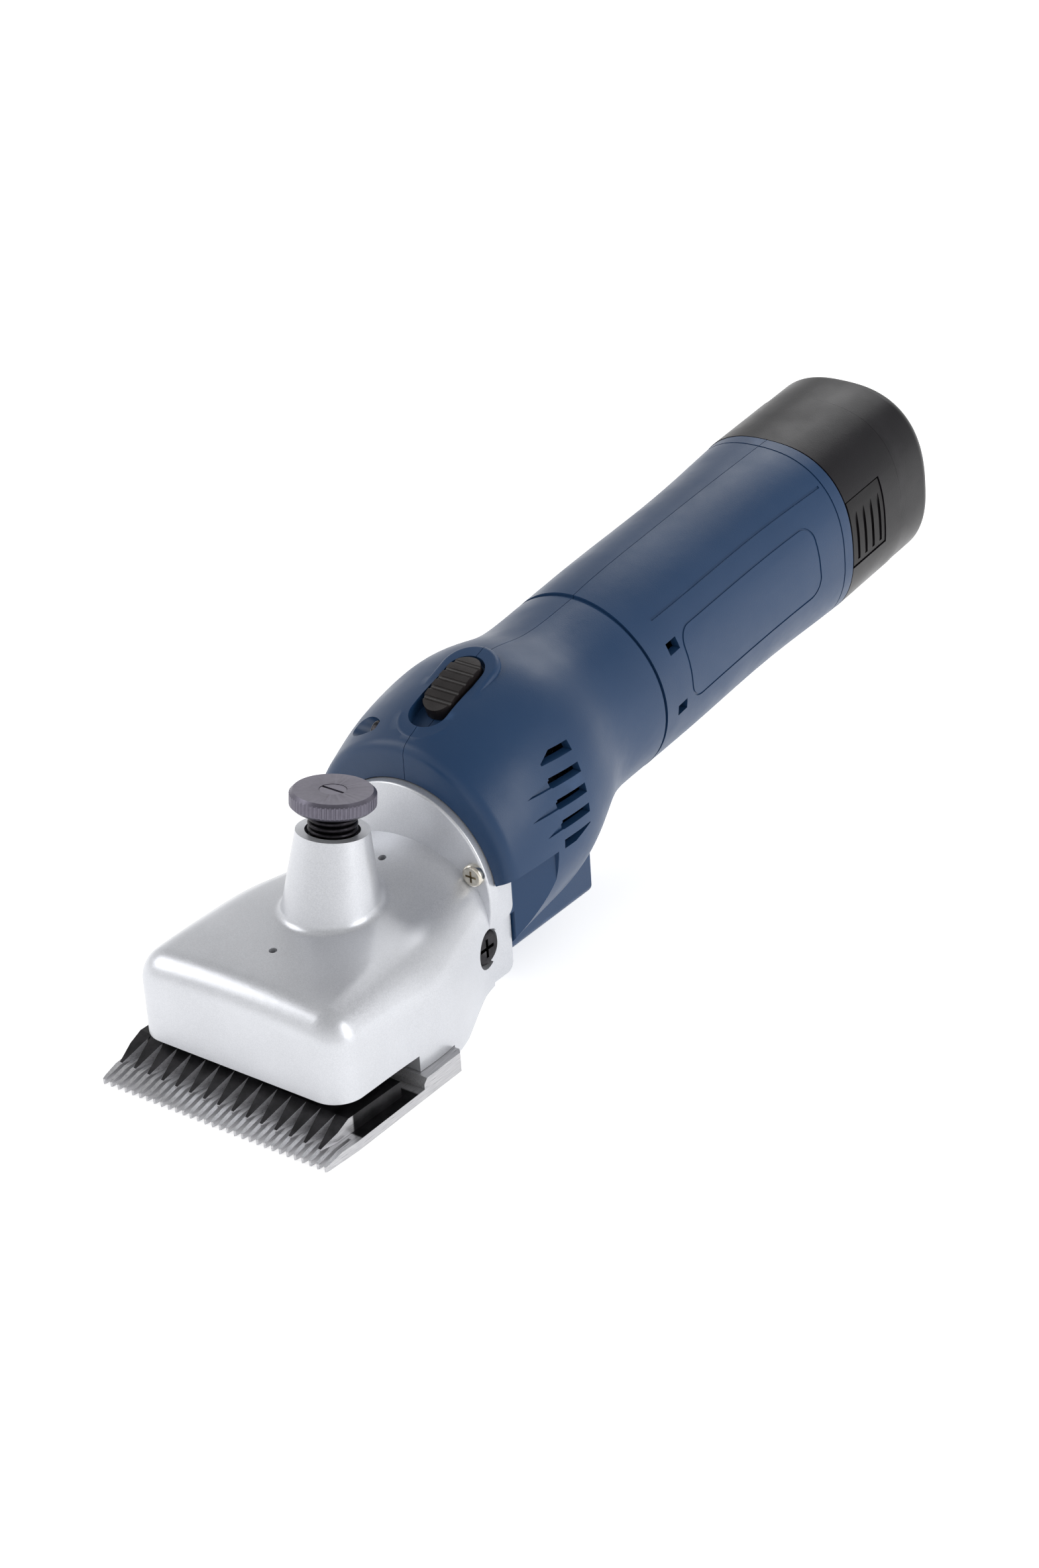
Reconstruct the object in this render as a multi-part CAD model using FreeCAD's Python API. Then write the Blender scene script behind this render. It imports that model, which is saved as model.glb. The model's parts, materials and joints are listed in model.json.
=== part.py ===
import FreeCAD, Part
import math
import os

# Cordless livestock clipper: comb and cutter, die-cast head with a tension knob,
# two-shell motor housing with a slide switch, and a slide-in battery with latches.
#
# Working frame, millimetres: X across the comb, Y from the tooth tips towards the
# battery, Z up from the comb's underside.  The last step moves everything so that
# the origin lies on the comb's underside, midway between its two fixing screws.

V = FreeCAD.Vector
X_AXIS = V(1, 0, 0)
Y_AXIS = V(0, 1, 0)
Z_AXIS = V(0, 0, 1)
BIG = 400.0

# --- comb and cutter -------------------------------------------------------------
COMB_HALF = 38.0
COMB_LENGTH = 54.6
COMB_THICK = 2.8
COMB_TEETH = 31
COMB_PITCH = 2.45
COMB_GULLET = 11.5
TOOTH_TIP_WIDTH = 1.15
TOOTH_ROOT_WIDTH = 1.5
TOOTH_TIP_THICK = 1.5
TOOTH_RAMP = 6.0
SHOULDER_Y = 38.5
SHOULDER_TOP = 5.6
COMB_SCREW_X = 20.0
COMB_SCREW_Y = 46.0
CUTTER_TEETH = 15
CUTTER_PITCH = 2 * COMB_PITCH
CUTTER_TIP_Y = 5.0
GULLET_APEX_Y = 14.4
GULLET_DEPTH = -14.0
CUTTER_REAR_Y = 34.2
CUTTER_BOTTOM = COMB_THICK + 0.05
CUTTER_TOP = 7.5
CUTTER_HALF = 7 * CUTTER_PITCH + 1.6
CUTTER_TIP_TOP = 3.3

# --- head casting -----------------------------------------------------------------
HEAD_FRONT_Y = 11.4
HEAD_RIM_Z = 10.4
HEAD_WALL = 2.6
HEAD_BASE_Z = 2.0
SKIRT_Y = 41.0
SEAT_Z = SHOULDER_TOP + 0.1
FLOOR_TOP = 9.0
HEAD_EDGE_RADIUS = 8.0
# stations along the hood: y, half width, crown height, shoulder radius, crown radius
HOOD_STATIONS = (
    (HEAD_FRONT_Y, 33.7, 35.2, 9.0, 300.0),
    (24.0, 34.4, 36.4, 10.0, 300.0),
    (41.0, 35.0, 37.6, 13.0, 200.0),
    (55.0, 34.8, 38.8, 16.0, 110.0),
    (66.0, 31.8, 40.1, 17.5, 60.0),
    (75.0, 28.6, 41.7, 17.0, 44.0),
    (84.0, 26.3, 43.6, 15.5, 36.0),
)
FLANGE_Z = 30.8
FLANGE_RADIUS = 27.7
FLANGE_FRONT = 82.6
FLANGE_BACK = 85.9
FLANGE_SCREW_X = 23.2
FLANGE_SCREW_Z = 38.9
OIL_HOLE_RADIUS = 1.1
OIL_HOLES_Y = (29.0, 73.5)
BLOCK_HALF = 25.4
BLOCK_BACK = 93.0
BLOCK_BASE = 5.5
BLOCK_TOP = 19.4
CHEEK_INNER = 19.6
CHEEK_TOP = 22.7
LUG_INNER = 20.5
LUG_OUTER = 26.7
LUG_BACK = 92.7
LUG_BASE = 23.2
LUG_TOP = 34.0
LUG_ROUND = 2.8
SIDE_SCREW_Y = 81.4
SIDE_SCREW_Z = 18.0
SIDE_HOLE_RADIUS = 5.5
SIDE_SEAT_DEPTH = 1.2
SIDE_SHANK = 10.8
FORK_CAVITY_HALF = 12.4
FORK_CAVITY = (60.0, 82.4, 16.0, 36.0)
FLANGE_POCKET_RADIUS = 3.25
FLANGE_POCKET_FRONT = 80.2

# --- tension post and knob --------------------------------------------------------
RIM_Y = 55.6
RIM_Z = 58.8
POST_TILT = 8.4
POST_TOP_RADIUS = 9.6
POST_FOOT_RADIUS = 13.4
POST_LENGTH = 24.0
POST_FILLET = 2.6
SPRING_RADIUS = 6.5
SPRING_WIRE = 1.4
SPRING_COILS = 6
SPRING_SEAT = -4.0
KNOB_RADIUS = 11.2
KNOB_BASE = 6.2
KNOB_THICK = 4.7
STEM_RADIUS = 3.8
PRESSURE_PIN_RADIUS = 3.0
PIN_FOOT = -30.8

# --- fork and crank ---------------------------------------------------------------
PIVOT_Y = 50.5
PIVOT_RADIUS = 3.0
RUNNING_CLEARANCE = 0.05
FINGER_X = 16.0
FINGER_Y = 27.0
FINGER_RADIUS = 2.8
LEVER_BASE = 17.0
LEVER_TOP = 21.5
HUB_TOP = 25.0
YOKE_FRONT = 73.0
YOKE_BACK = 81.6
YOKE_TOP = 37.5
YOKE_SLOT_HALF = 5.9
FORK_REST_DEG = -2.42
CRANK_Z = FLANGE_Z
CRANK_THROW = 1.52
CRANK_PHASE_DEG = 51.0
CRANK_SHAFT_RADIUS = 3.0
CRANK_DISC_RADIUS = 7.5

# --- gears and motor --------------------------------------------------------------
GEAR_MODULE = 0.6
GEAR_TEETH = 34
PINION_TEETH = 10
GEAR_CENTRES = GEAR_MODULE * (GEAR_TEETH + PINION_TEETH) / 2
GEAR_FRONT = 90.4
GEAR_WIDTH = 4.4
MOTOR_Z = CRANK_Z + GEAR_CENTRES
MOTOR_FRONT = 100.0
MOTOR_BACK = 137.0
MOTOR_RADIUS = 21.0
MOTOR_SHAFT_RADIUS = 2.0
ARMATURE_RADIUS = 15.8
ARMATURE_SLOTS = 8

# --- housing ----------------------------------------------------------------------
HANDLE_Y = 162.8
HANDLE_Z = 51.6
HANDLE_TILT = 5.3
WALL = 2.4
SPLIT_GAP = 0.09
JOINT_S = 96.7
SECTION_POINTS = 32
HOUSING_FRONT = 85.1
HOUSING_FRONT_RADIUS = 4.0
# dome and neck stations: distance along the handle axis, height of centre, radius
DOME_STATIONS = (
    (-88.0, -11.6, 31.4),
    (-80.0, -10.9, 33.0),
    (-72.0, -8.8, 34.0),
    (-62.0, -6.2, 35.0),
    (-52.0, -4.7, 35.4),
    (-42.0, -3.1, 34.7),
    (-34.0, -1.8, 32.7),
    (-27.0, -1.1, 30.2),
    (-20.0, -0.6, 28.3),
    (-14.0, -0.4, 27.7),
    (-7.0, -0.4, 27.7),
    (1.0, -0.4, 27.8),
)
# handle stations: distance along the axis, half width, half height, squareness
HANDLE_STATIONS = (
    (0.0, 27.3, 28.4, 2.0),
    (12.0, 26.4, 29.1, 2.05),
    (30.0, 25.9, 29.3, 2.1),
    (60.0, 25.9, 29.2, 2.1),
    (80.0, 26.4, 28.9, 2.25),
    (JOINT_S, 26.9, 28.5, 2.45),
)
HANDLE_CENTRE_H = -0.5
HEEL_HALF = 24.0
HEEL_BASE = 9.0
HEEL_FRONT = 93.6
HEEL_BACK = 130.5
HEEL_ROUND = 2.6
FLAT_X = 26.4
FLAT_START = 93.6
FLAT_END = 103.0
FLAT_RISE = 7.2
FLAT_TOP = 34.6
FLAT_ROOF_SLOPE = 0.5
VENT_COUNT = 5
VENT_PITCH = 5.65
VENT_HEIGHT = 2.6
VENT_TOP_Z = 63.8
VENT_Y = (105.6, 117.0)
PANEL_GROOVE = 0.6
PANEL_DEPTH = 0.3
SWITCH_Y = 107.6
SWITCH_Z = 75.6
SWITCH_TILT = 19.0
SLIDER_LENGTH = 20.5
SLIDER_WIDTH = 9.0
SWITCH_TRAVEL = 5.0
RECESS_LENGTH = 27.5
RECESS_WIDTH = 11.4

# --- wiring and battery -----------------------------------------------------------
LEAD_RADIUS = 0.9
BATTERY_GAP = 0.3
BATTERY_CAP_S = 123.4
BATTERY_END_S = 140.6
STEM_HALF_WIDTH = 21.0
STEM_HALF_HEIGHT = 22.4
STEM_FRONT_S = 58.0
CELL_RADIUS = 9.1
CELL_LENGTH = 65.0
LATCH_S = (97.4, 114.4)
LATCH_H = (-8.0, 12.4)
LATCH_TRAVEL = 1.6


def box(x0, x1, y0, y1, z0, z1):
    return Part.makeBox(x1 - x0, y1 - y0, z1 - z0, V(x0, y0, z0))


def rod(radius, start, end):
    axis = end - start
    return Part.makeCylinder(radius, axis.Length, start, axis)


def tube(outer, inner, start, end):
    axis = end - start
    reach = axis * (1.0 / axis.Length)
    return rod(outer, start, end).cut(rod(inner, start - reach, end + reach))


def along_y(radius, x, z, y0, y1):
    return rod(radius, V(x, y0, z), V(x, y1, z))


def along_x(radius, y, z, x0, x1):
    return rod(radius, V(x0, y, z), V(x1, y, z))


def along_z(radius, x, y, z0, z1):
    return rod(radius, V(x, y, z0), V(x, y, z1))


def mirrored(shape):
    return shape.mirror(V(0, 0, 0), X_AXIS)


def prism(points, vector):
    wire = Part.makePolygon(points + [points[0]])
    return Part.Face(wire).extrude(vector)


def fuse_all(shapes):
    result = shapes[0]
    for shape in shapes[1:]:
        result = result.fuse(shape)
    return result.removeSplitter()


def cut_all(shape, tools):
    for tool in tools:
        shape = shape.cut(tool)
    return shape


def edges_where(shape, test):
    return [edge for edge in shape.Edges if test(edge)]


def stadium(length, width, z0, z1):
    """Long round-ended block along Y, centred on the local origin."""
    straight = (length - width) / 2
    body = box(-width / 2, width / 2, -straight, straight, z0, z1)
    ends = [along_z(width / 2, 0, y, z0, z1) for y in (-straight, straight)]
    return fuse_all([body] + ends)


# --- local frames -----------------------------------------------------------------
HANDLE = FreeCAD.Placement(V(0, HANDLE_Y, HANDLE_Z), FreeCAD.Rotation(X_AXIS, HANDLE_TILT))
POST = FreeCAD.Placement(V(0, RIM_Y, RIM_Z), FreeCAD.Rotation(X_AXIS, -POST_TILT))
SWITCH = FreeCAD.Placement(V(0, SWITCH_Y, SWITCH_Z), FreeCAD.Rotation(X_AXIS, SWITCH_TILT))


def placed(shape, frame):
    copy = shape.copy()
    copy.transformShape(frame.Matrix)
    return copy


# --- comb and cutter --------------------------------------------------------------
def comb_outline():
    """Half-open gullets between round-ended teeth, walked from left to right."""
    points = []
    first = -(COMB_TEETH - 1) / 2 * COMB_PITCH
    for index in range(COMB_TEETH):
        x = first + index * COMB_PITCH
        tip = TOOTH_TIP_WIDTH / 2
        root = TOOTH_ROOT_WIDTH / 2
        left_root = x - root if index else -COMB_HALF
        right_root = x + root if index < COMB_TEETH - 1 else COMB_HALF
        points.append(V(left_root, COMB_GULLET, 0))
        points.append(V(x - tip, 1.6, 0))
        points.append(V(x - tip * 0.62, 0.35, 0))
        points.append(V(x, 0, 0))
        points.append(V(x + tip * 0.62, 0.35, 0))
        points.append(V(x + tip, 1.6, 0))
        points.append(V(right_root, COMB_GULLET, 0))
    points.append(V(COMB_HALF, COMB_LENGTH, 0))
    points.append(V(-COMB_HALF, COMB_LENGTH, 0))
    return points


def comb():
    plate = prism(comb_outline(), V(0, 0, COMB_THICK))
    ramp = prism(
        [V(-BIG, -1, TOOTH_TIP_THICK - 0.22), V(-BIG, TOOTH_RAMP, COMB_THICK), V(-BIG, -1, COMB_THICK + 2)],
        V(2 * BIG, 0, 0),
    )
    plate = plate.cut(ramp)
    shoulder = box(-COMB_HALF, COMB_HALF, SHOULDER_Y, COMB_LENGTH, COMB_THICK - 0.5, SHOULDER_TOP)
    shoulder = shoulder.makeChamfer(1.3, edges_where(shoulder, lambda e: e.CenterOfMass.y < SHOULDER_Y + 0.01
                                                     and e.CenterOfMass.z > SHOULDER_TOP - 0.01))
    body = plate.fuse(shoulder).removeSplitter()
    for side in (-1, 1):
        x = side * COMB_SCREW_X
        body = body.cut(along_z(2.3, x, COMB_SCREW_Y, -1, SHOULDER_TOP + 1))
        body = body.cut(along_z(4.3, x, COMB_SCREW_Y, -1, 2.9))
        corner = prism([V(side * (COMB_HALF + 1), COMB_LENGTH - 2.2, -1), V(side * (COMB_HALF - 2.2),
                       COMB_LENGTH + 1, -1), V(side * (COMB_HALF + 1), COMB_LENGTH + 1, -1)], V(0, 0, 10))
        body = body.cut(corner)
    return body


def comb_screw(x):
    head = along_z(4.0, x, COMB_SCREW_Y, 0.5, 2.85)
    shank = along_z(2.2, x, COMB_SCREW_Y, 2.85, 13.0)
    slot = box(x - 0.6, x + 0.6, COMB_SCREW_Y - 5, COMB_SCREW_Y + 5, 0, 1.5)
    return head.fuse(shank).cut(slot).removeSplitter()


def cutter_gullet(x):
    """Ground V between two cutter teeth: widest at the tips, rising to a point on the top."""
    apex = V(x, GULLET_APEX_Y, CUTTER_TOP + 0.1)
    front = CUTTER_TIP_Y - 1.5
    top_half = CUTTER_PITCH / 2 + 0.25
    low_half = CUTTER_PITCH / 2 - 0.85
    corners = [V(x - top_half, front, CUTTER_TOP + 3), V(x + top_half, front, CUTTER_TOP + 3),
               V(x + low_half, front, GULLET_DEPTH), V(x - low_half, front, GULLET_DEPTH)]
    faces = [Part.Face(Part.makePolygon(corners + [corners[0]]))]
    for index in range(4):
        a = corners[index]
        b = corners[(index + 1) % 4]
        faces.append(Part.Face(Part.makePolygon([a, b, apex, a])))
    return Part.Solid(Part.Shell(faces))


def cutter():
    """Blade with 15 pointed teeth: a sloping front, ground gullets and a relieved back."""
    body = box(-CUTTER_HALF, CUTTER_HALF, CUTTER_TIP_Y, CUTTER_REAR_Y, CUTTER_BOTTOM, CUTTER_TOP)
    slope = prism([V(-BIG, CUTTER_TIP_Y - 3, CUTTER_TIP_TOP - 1.4), V(-BIG, GULLET_APEX_Y + 0.3, CUTTER_TOP + 0.1),
                   V(-BIG, CUTTER_TIP_Y - 3, CUTTER_TOP + 3)], V(2 * BIG, 0, 0))
    solid = body.cut(slope)
    first = -CUTTER_TEETH / 2 * CUTTER_PITCH
    for index in range(CUTTER_TEETH + 1):
        solid = solid.cut(cutter_gullet(first + index * CUTTER_PITCH))
    relief = box(-CUTTER_HALF + 6, CUTTER_HALF - 6, 24.0, CUTTER_REAR_Y + 1, CUTTER_BOTTOM - 1, CUTTER_BOTTOM + 1.0)
    sockets = [along_z(FINGER_RADIUS + 0.1, side * FINGER_X, FINGER_Y, 4.9, CUTTER_TOP + 1) for side in (-1, 1)]
    window = box(-9, 9, 25, CUTTER_REAR_Y + 1, CUTTER_BOTTOM - 1, CUTTER_TOP + 1)
    return cut_all(solid, [relief, window] + sockets)


# --- head casting -----------------------------------------------------------------
def hood_section(station, inset, base):
    y, half, crown, shoulder, crown_radius = station
    half -= inset
    crown -= inset
    shoulder -= inset
    crown_radius -= inset
    centre_x = half - shoulder
    top_centre = crown - crown_radius
    centre_z = top_centre + math.sqrt((crown_radius - shoulder) ** 2 - centre_x ** 2)
    lean = math.atan2(centre_x, centre_z - top_centre)
    touch = V(crown_radius * math.sin(lean), y, top_centre + crown_radius * math.cos(lean))
    middle = (math.pi / 2 + lean) / 2
    bend = V(centre_x + shoulder * math.sin(middle), y, centre_z + shoulder * math.cos(middle))

    def left(point):
        return V(-point.x, point.y, point.z)

    foot = V(half, y, base)
    side = V(half, y, centre_z)
    edges = [
        Part.LineSegment(left(foot), foot).toShape(),
        Part.LineSegment(foot, side).toShape(),
        Part.Arc(side, bend, touch).toShape(),
        Part.Arc(touch, V(0, y, crown), left(touch)).toShape(),
        Part.Arc(left(touch), left(bend), left(side)).toShape(),
        Part.LineSegment(left(side), left(foot)).toShape(),
    ]
    return Part.Wire(edges)


def hood_shell(inset, base, front, back):
    """Loft through the hood stations, trimmed to a front and a back plane."""
    wires = [hood_section(station, inset, base) for station in HOOD_STATIONS]
    solid = Part.makeLoft(wires, True, False)
    return solid.common(box(-BIG, BIG, front, back, -BIG, BIG))


def front_edges(shape, front):
    return edges_where(shape, lambda e: abs(e.BoundBox.YMin - front) < 0.01 and abs(e.BoundBox.YMax - front) < 0.01
                       and e.CenterOfMass.z > HEAD_BASE_Z + 0.5)


def hood():
    outer = hood_shell(0, HEAD_BASE_Z, HEAD_FRONT_Y, FLANGE_FRONT + 1)
    return outer.makeFillet(HEAD_EDGE_RADIUS, front_edges(outer, HEAD_FRONT_Y))


def hood_hollow():
    front = HEAD_FRONT_Y + HEAD_WALL
    inner = hood_shell(HEAD_WALL, HEAD_BASE_Z - 5, front, FLANGE_FRONT)
    return inner.makeFillet(HEAD_EDGE_RADIUS - HEAD_WALL, front_edges(inner, front))


def post_solid():
    return placed(Part.makeCone(POST_FOOT_RADIUS, POST_TOP_RADIUS, POST_LENGTH, V(0, 0, -POST_LENGTH)), POST)


def post_boss():
    """Solid core under the post that carries the pressure pin's guide."""
    return placed(along_z(6.5, 0, 0, -29.0, -POST_LENGTH + 6), POST)


def side_lug(grow=0.0, outer=LUG_OUTER):
    """Tab with a rounded lower corner that locates the head in a notch of the housing."""
    body = box(LUG_INNER - grow, outer, FLANGE_BACK - 2, LUG_BACK + grow, LUG_BASE - grow, LUG_TOP + grow)
    corner = edges_where(body, lambda e: e.BoundBox.YMin > LUG_BACK + grow - 0.01 and e.BoundBox.ZMax < LUG_BASE + 0.01)
    return body.makeFillet(LUG_ROUND + grow, corner)


def rear_block():
    block = box(-BLOCK_HALF, BLOCK_HALF, 72.0, BLOCK_BACK, BLOCK_BASE, BLOCK_TOP)
    pad = box(-BLOCK_HALF, BLOCK_HALF, 75.2, FLANGE_BACK, BLOCK_BASE, 25.0)
    cheeks = [box(x0, x0 + BLOCK_HALF - CHEEK_INNER, FLANGE_BACK - 1, BLOCK_BACK, BLOCK_TOP - 1, CHEEK_TOP)
              for x0 in (CHEEK_INNER, -BLOCK_HALF)]
    solid = fuse_all([block, pad] + cheeks)
    rear_low = edges_where(solid, lambda e: e.CenterOfMass.y > BLOCK_BACK - 0.1 and e.CenterOfMass.z < BLOCK_BASE + 0.1)
    return solid.makeFillet(2.5, rear_low)


def flange_screw_backing():
    """Metal behind the half-sunk flange screws, kept inside the hood's outer skin."""
    posts = [along_y(FLANGE_POCKET_RADIUS + 1.5, side * FLANGE_SCREW_X, FLANGE_SCREW_Z, FLANGE_POCKET_FRONT - 1.6,
                     FLANGE_FRONT + 0.5) for side in (-1, 1)]
    outer = hood_shell(0, HEAD_BASE_Z, HEAD_FRONT_Y, FLANGE_FRONT + 1)
    return posts[0].fuse(posts[1]).common(outer)


def head_casting():
    shell = hood()
    shell = shell.fuse(post_solid()).removeSplitter()
    foot = edges_where(shell, lambda e: e.BoundBox.ZMin > 36 and e.BoundBox.ZMax < 42
                       and e.BoundBox.YMin > 38 and e.BoundBox.YMax < 66)
    shell = shell.makeFillet(POST_FILLET, foot)
    flange = along_y(FLANGE_RADIUS, 0, FLANGE_Z, FLANGE_FRONT, FLANGE_BACK)
    flange = flange.makeFillet(0.7, [edge for edge in flange.Edges if edge.CenterOfMass.y < FLANGE_FRONT + 0.1
                                     and len(edge.Vertexes) == 1])
    shell = shell.cut(hood_hollow())
    floor = hood_shell(0.5, HEAD_BASE_Z, SKIRT_Y, FLANGE_FRONT + 0.5).common(box(-BIG, BIG, 0, BIG, 0, FLOOR_TOP))
    lugs = [side_lug(), mirrored(side_lug())]
    bosses = [along_z(5.0, side * COMB_SCREW_X, COMB_SCREW_Y, SEAT_Z, 14.0) for side in (-1, 1)]
    solid = fuse_all([shell, flange, floor, rear_block(), post_boss(), flange_screw_backing()] + lugs + bosses)
    tools = [
        box(-BIG, BIG, -1, SKIRT_Y, -10, HEAD_RIM_Z),
        box(-BIG, BIG, SKIRT_Y - 1, COMB_LENGTH + 0.7, -10, SEAT_Z),
        prism([V(-BIG, 64, -1), V(-BIG, 64, HEAD_BASE_Z), V(-BIG, 78, BLOCK_BASE), V(-BIG, 100, BLOCK_BASE),
               V(-BIG, 100, -1)], V(2 * BIG, 0, 0)),
        along_y(9.0, 0, CRANK_Z, FLANGE_FRONT - 3, FLANGE_BACK + 1),
        placed(along_z(SPRING_RADIUS + 0.7, 0, 0, SPRING_SEAT, 1), POST),
        placed(along_z(STEM_RADIUS + 0.3, 0, 0, -22.0, 1), POST),
        placed(along_z(PRESSURE_PIN_RADIUS + RUNNING_CLEARANCE, 0, 0, -40, 1), POST),
        box(-FORK_CAVITY_HALF, FORK_CAVITY_HALF, *FORK_CAVITY),
    ]
    tools += [along_z(OIL_HOLE_RADIUS, 0, y, 30, 60) for y in OIL_HOLES_Y]
    for side in (-1, 1):
        x = side * BLOCK_HALF
        seat = x - side * SIDE_SEAT_DEPTH
        tools.append(along_x(SIDE_HOLE_RADIUS, SIDE_SCREW_Y, SIDE_SCREW_Z, seat, x + side * 8))
        tools.append(along_x(2.3, SIDE_SCREW_Y, SIDE_SCREW_Z, seat - side * (SIDE_SHANK + 0.2), seat + side))
        tools.append(along_y(1.75, side * FLANGE_SCREW_X, FLANGE_SCREW_Z, FLANGE_FRONT - 1, FLANGE_BACK + 1))
        tools.append(along_y(FLANGE_POCKET_RADIUS, side * FLANGE_SCREW_X, FLANGE_SCREW_Z, FLANGE_POCKET_FRONT,
                             FLANGE_FRONT))
        tools.append(along_z(2.25, side * COMB_SCREW_X, COMB_SCREW_Y, SEAT_Z - 1, 13.1))
    tools.append(along_z(PIVOT_RADIUS, 0, PIVOT_Y, SEAT_Z - 1, FLOOR_TOP + 1))
    return cut_all(solid, tools)


def cross_recess(radius, depth):
    """Cross-shaped driver recess, opening at local z = 0 and going down."""
    width = radius * 0.36
    bar = box(-radius, radius, -width / 2, width / 2, -depth, 0.5)
    other = box(-width / 2, width / 2, -radius, radius, -depth, 0.5)
    return bar.fuse(other)


def pan_screw(head_radius, head_height, shank_radius, shank_length):
    """Pan-head screw pointing down, its head's underside at z = 0."""
    head = along_z(head_radius, 0, 0, 0, head_height)
    head = head.makeFillet(head_height * 0.45, edges_where(head, lambda e: e.CenterOfMass.z > head_height - 0.01
                                                            and len(e.Vertexes) == 1))
    recess = cross_recess(head_radius * 0.55, head_height * 0.7)
    recess.translate(V(0, 0, head_height))
    shank = along_z(shank_radius, 0, 0, -shank_length, 0)
    return head.cut(recess).fuse(shank).removeSplitter()


def side_screws():
    screw = pan_screw(5.0, 2.2, 2.2, SIDE_SHANK)
    seat = BLOCK_HALF - SIDE_SEAT_DEPTH
    right = placed(screw, FreeCAD.Placement(V(seat, SIDE_SCREW_Y, SIDE_SCREW_Z), FreeCAD.Rotation(Y_AXIS, 90)))
    return [right, mirrored(right)]


def flange_screws():
    screw = pan_screw(3.1, 1.9, 1.7, 6.0)
    turn = FreeCAD.Rotation(X_AXIS, 90)
    return [placed(screw, FreeCAD.Placement(V(side * FLANGE_SCREW_X, FLANGE_FRONT, FLANGE_SCREW_Z), turn))
            for side in (-1, 1)]


# --- tension ----------------------------------------------------------------------
def tension_knob():
    disc = along_z(KNOB_RADIUS, 0, 0, KNOB_BASE, KNOB_BASE + KNOB_THICK)
    rims = edges_where(disc, lambda e: len(e.Vertexes) == 1)
    disc = disc.makeChamfer(0.9, rims)
    collar = along_z(4.6, 0, 0, KNOB_BASE - 1.2, KNOB_BASE)
    pocket = along_z(3.6, 0, 0, KNOB_BASE + KNOB_THICK - 1.2, KNOB_BASE + KNOB_THICK + 1)
    bore = along_z(2.05, 0, 0, KNOB_BASE - 3, KNOB_BASE + KNOB_THICK + 1)
    flutes = []
    count = 60
    for index in range(count):
        angle = 2 * math.pi * index / count
        x = (KNOB_RADIUS + 0.12) * math.cos(angle)
        y = (KNOB_RADIUS + 0.12) * math.sin(angle)
        flutes.append(along_z(0.32, x, y, KNOB_BASE - 1, KNOB_BASE + KNOB_THICK + 1))
    solid = disc.fuse(collar).removeSplitter().cut(pocket).cut(bore)
    return placed(solid.cut(Part.makeCompound(flutes)), POST)


def knob_screw():
    top = KNOB_BASE + KNOB_THICK
    head = along_z(3.5, 0, 0, top - 1.15, top - 0.1)
    slot = box(-4, 4, -0.45, 0.45, top - 0.75, top + 1)
    shank = along_z(2.0, 0, 0, KNOB_BASE - 2.5, top - 1.15)
    return placed(head.cut(slot).fuse(shank).removeSplitter(), POST)


def tension_stem():
    """Stem that carries the knob, bored for the knob screw and for the pressure pin."""
    stem = along_z(STEM_RADIUS, 0, 0, -15.0, KNOB_BASE - 1.25)
    stem = stem.cut(along_z(2.05, 0, 0, 2.0, KNOB_BASE))
    return placed(stem, POST)


def pressure_pin():
    top = -15.1
    pin = along_z(PRESSURE_PIN_RADIUS, 0, 0, PIN_FOOT, top)
    collar = along_z(STEM_RADIUS, 0, 0, -19.5, top)
    tip = Part.makeSphere(PRESSURE_PIN_RADIUS, V(0, 0, PIN_FOOT))
    return placed(fuse_all([pin, collar, tip]), POST)


def tension_spring():
    """Closed sleeve with one rounded ridge for each coil of the spring."""
    low = SPRING_SEAT + 0.05
    high = KNOB_BASE - 0.05
    inner = SPRING_RADIUS - SPRING_WIRE
    pitch = (high - low) / SPRING_COILS
    core = along_z(SPRING_RADIUS - 0.75 * SPRING_WIRE, 0, 0, low, high)
    rings = [Part.makeTorus(SPRING_RADIUS - SPRING_WIRE / 2, SPRING_WIRE / 2, V(0, 0, low + pitch * (i + 0.5)))
             for i in range(SPRING_COILS)]
    sleeve = fuse_all([core] + rings)
    return placed(sleeve.cut(along_z(inner, 0, 0, low - 1, high + 1)), POST)


# --- fork and crank ---------------------------------------------------------------
def turned_fork(shape):
    copy = shape.copy()
    copy.rotate(V(0, PIVOT_Y, 0), Z_AXIS, FORK_REST_DEG)
    return copy


def fork_lever():
    hub = along_z(7.0, 0, PIVOT_Y, LEVER_BASE, HUB_TOP)
    front = prism([V(-6.5, PIVOT_Y, LEVER_BASE), V(-20.0, 31.0, LEVER_BASE), V(-20.0, 23.5, LEVER_BASE),
                   V(-12.0, 23.5, LEVER_BASE), V(-12.0, 29.0, LEVER_BASE), V(0, 40.0, LEVER_BASE),
                   V(12.0, 29.0, LEVER_BASE), V(12.0, 23.5, LEVER_BASE), V(20.0, 23.5, LEVER_BASE),
                   V(20.0, 31.0, LEVER_BASE), V(6.5, PIVOT_Y, LEVER_BASE)], V(0, 0, LEVER_TOP - LEVER_BASE))
    rear = box(-4.5, 4.5, PIVOT_Y, YOKE_FRONT + 1, LEVER_BASE, LEVER_TOP)
    yoke = box(-9.0, 9.0, YOKE_FRONT, YOKE_BACK, LEVER_BASE, YOKE_TOP)
    slot = box(-YOKE_SLOT_HALF, YOKE_SLOT_HALF, YOKE_FRONT - 1, YOKE_BACK + 1, 24.5, YOKE_TOP + 1)
    bore = along_z(PIVOT_RADIUS + RUNNING_CLEARANCE, 0, PIVOT_Y, LEVER_BASE - 1, HUB_TOP - 1.5)
    holes = [along_z(1.6, side * FINGER_X, FINGER_Y, LEVER_BASE - 1, LEVER_TOP + 1) for side in (-1, 1)]
    solid = fuse_all([hub, front, rear, yoke])
    return turned_fork(cut_all(solid, [slot, bore] + holes))


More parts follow.
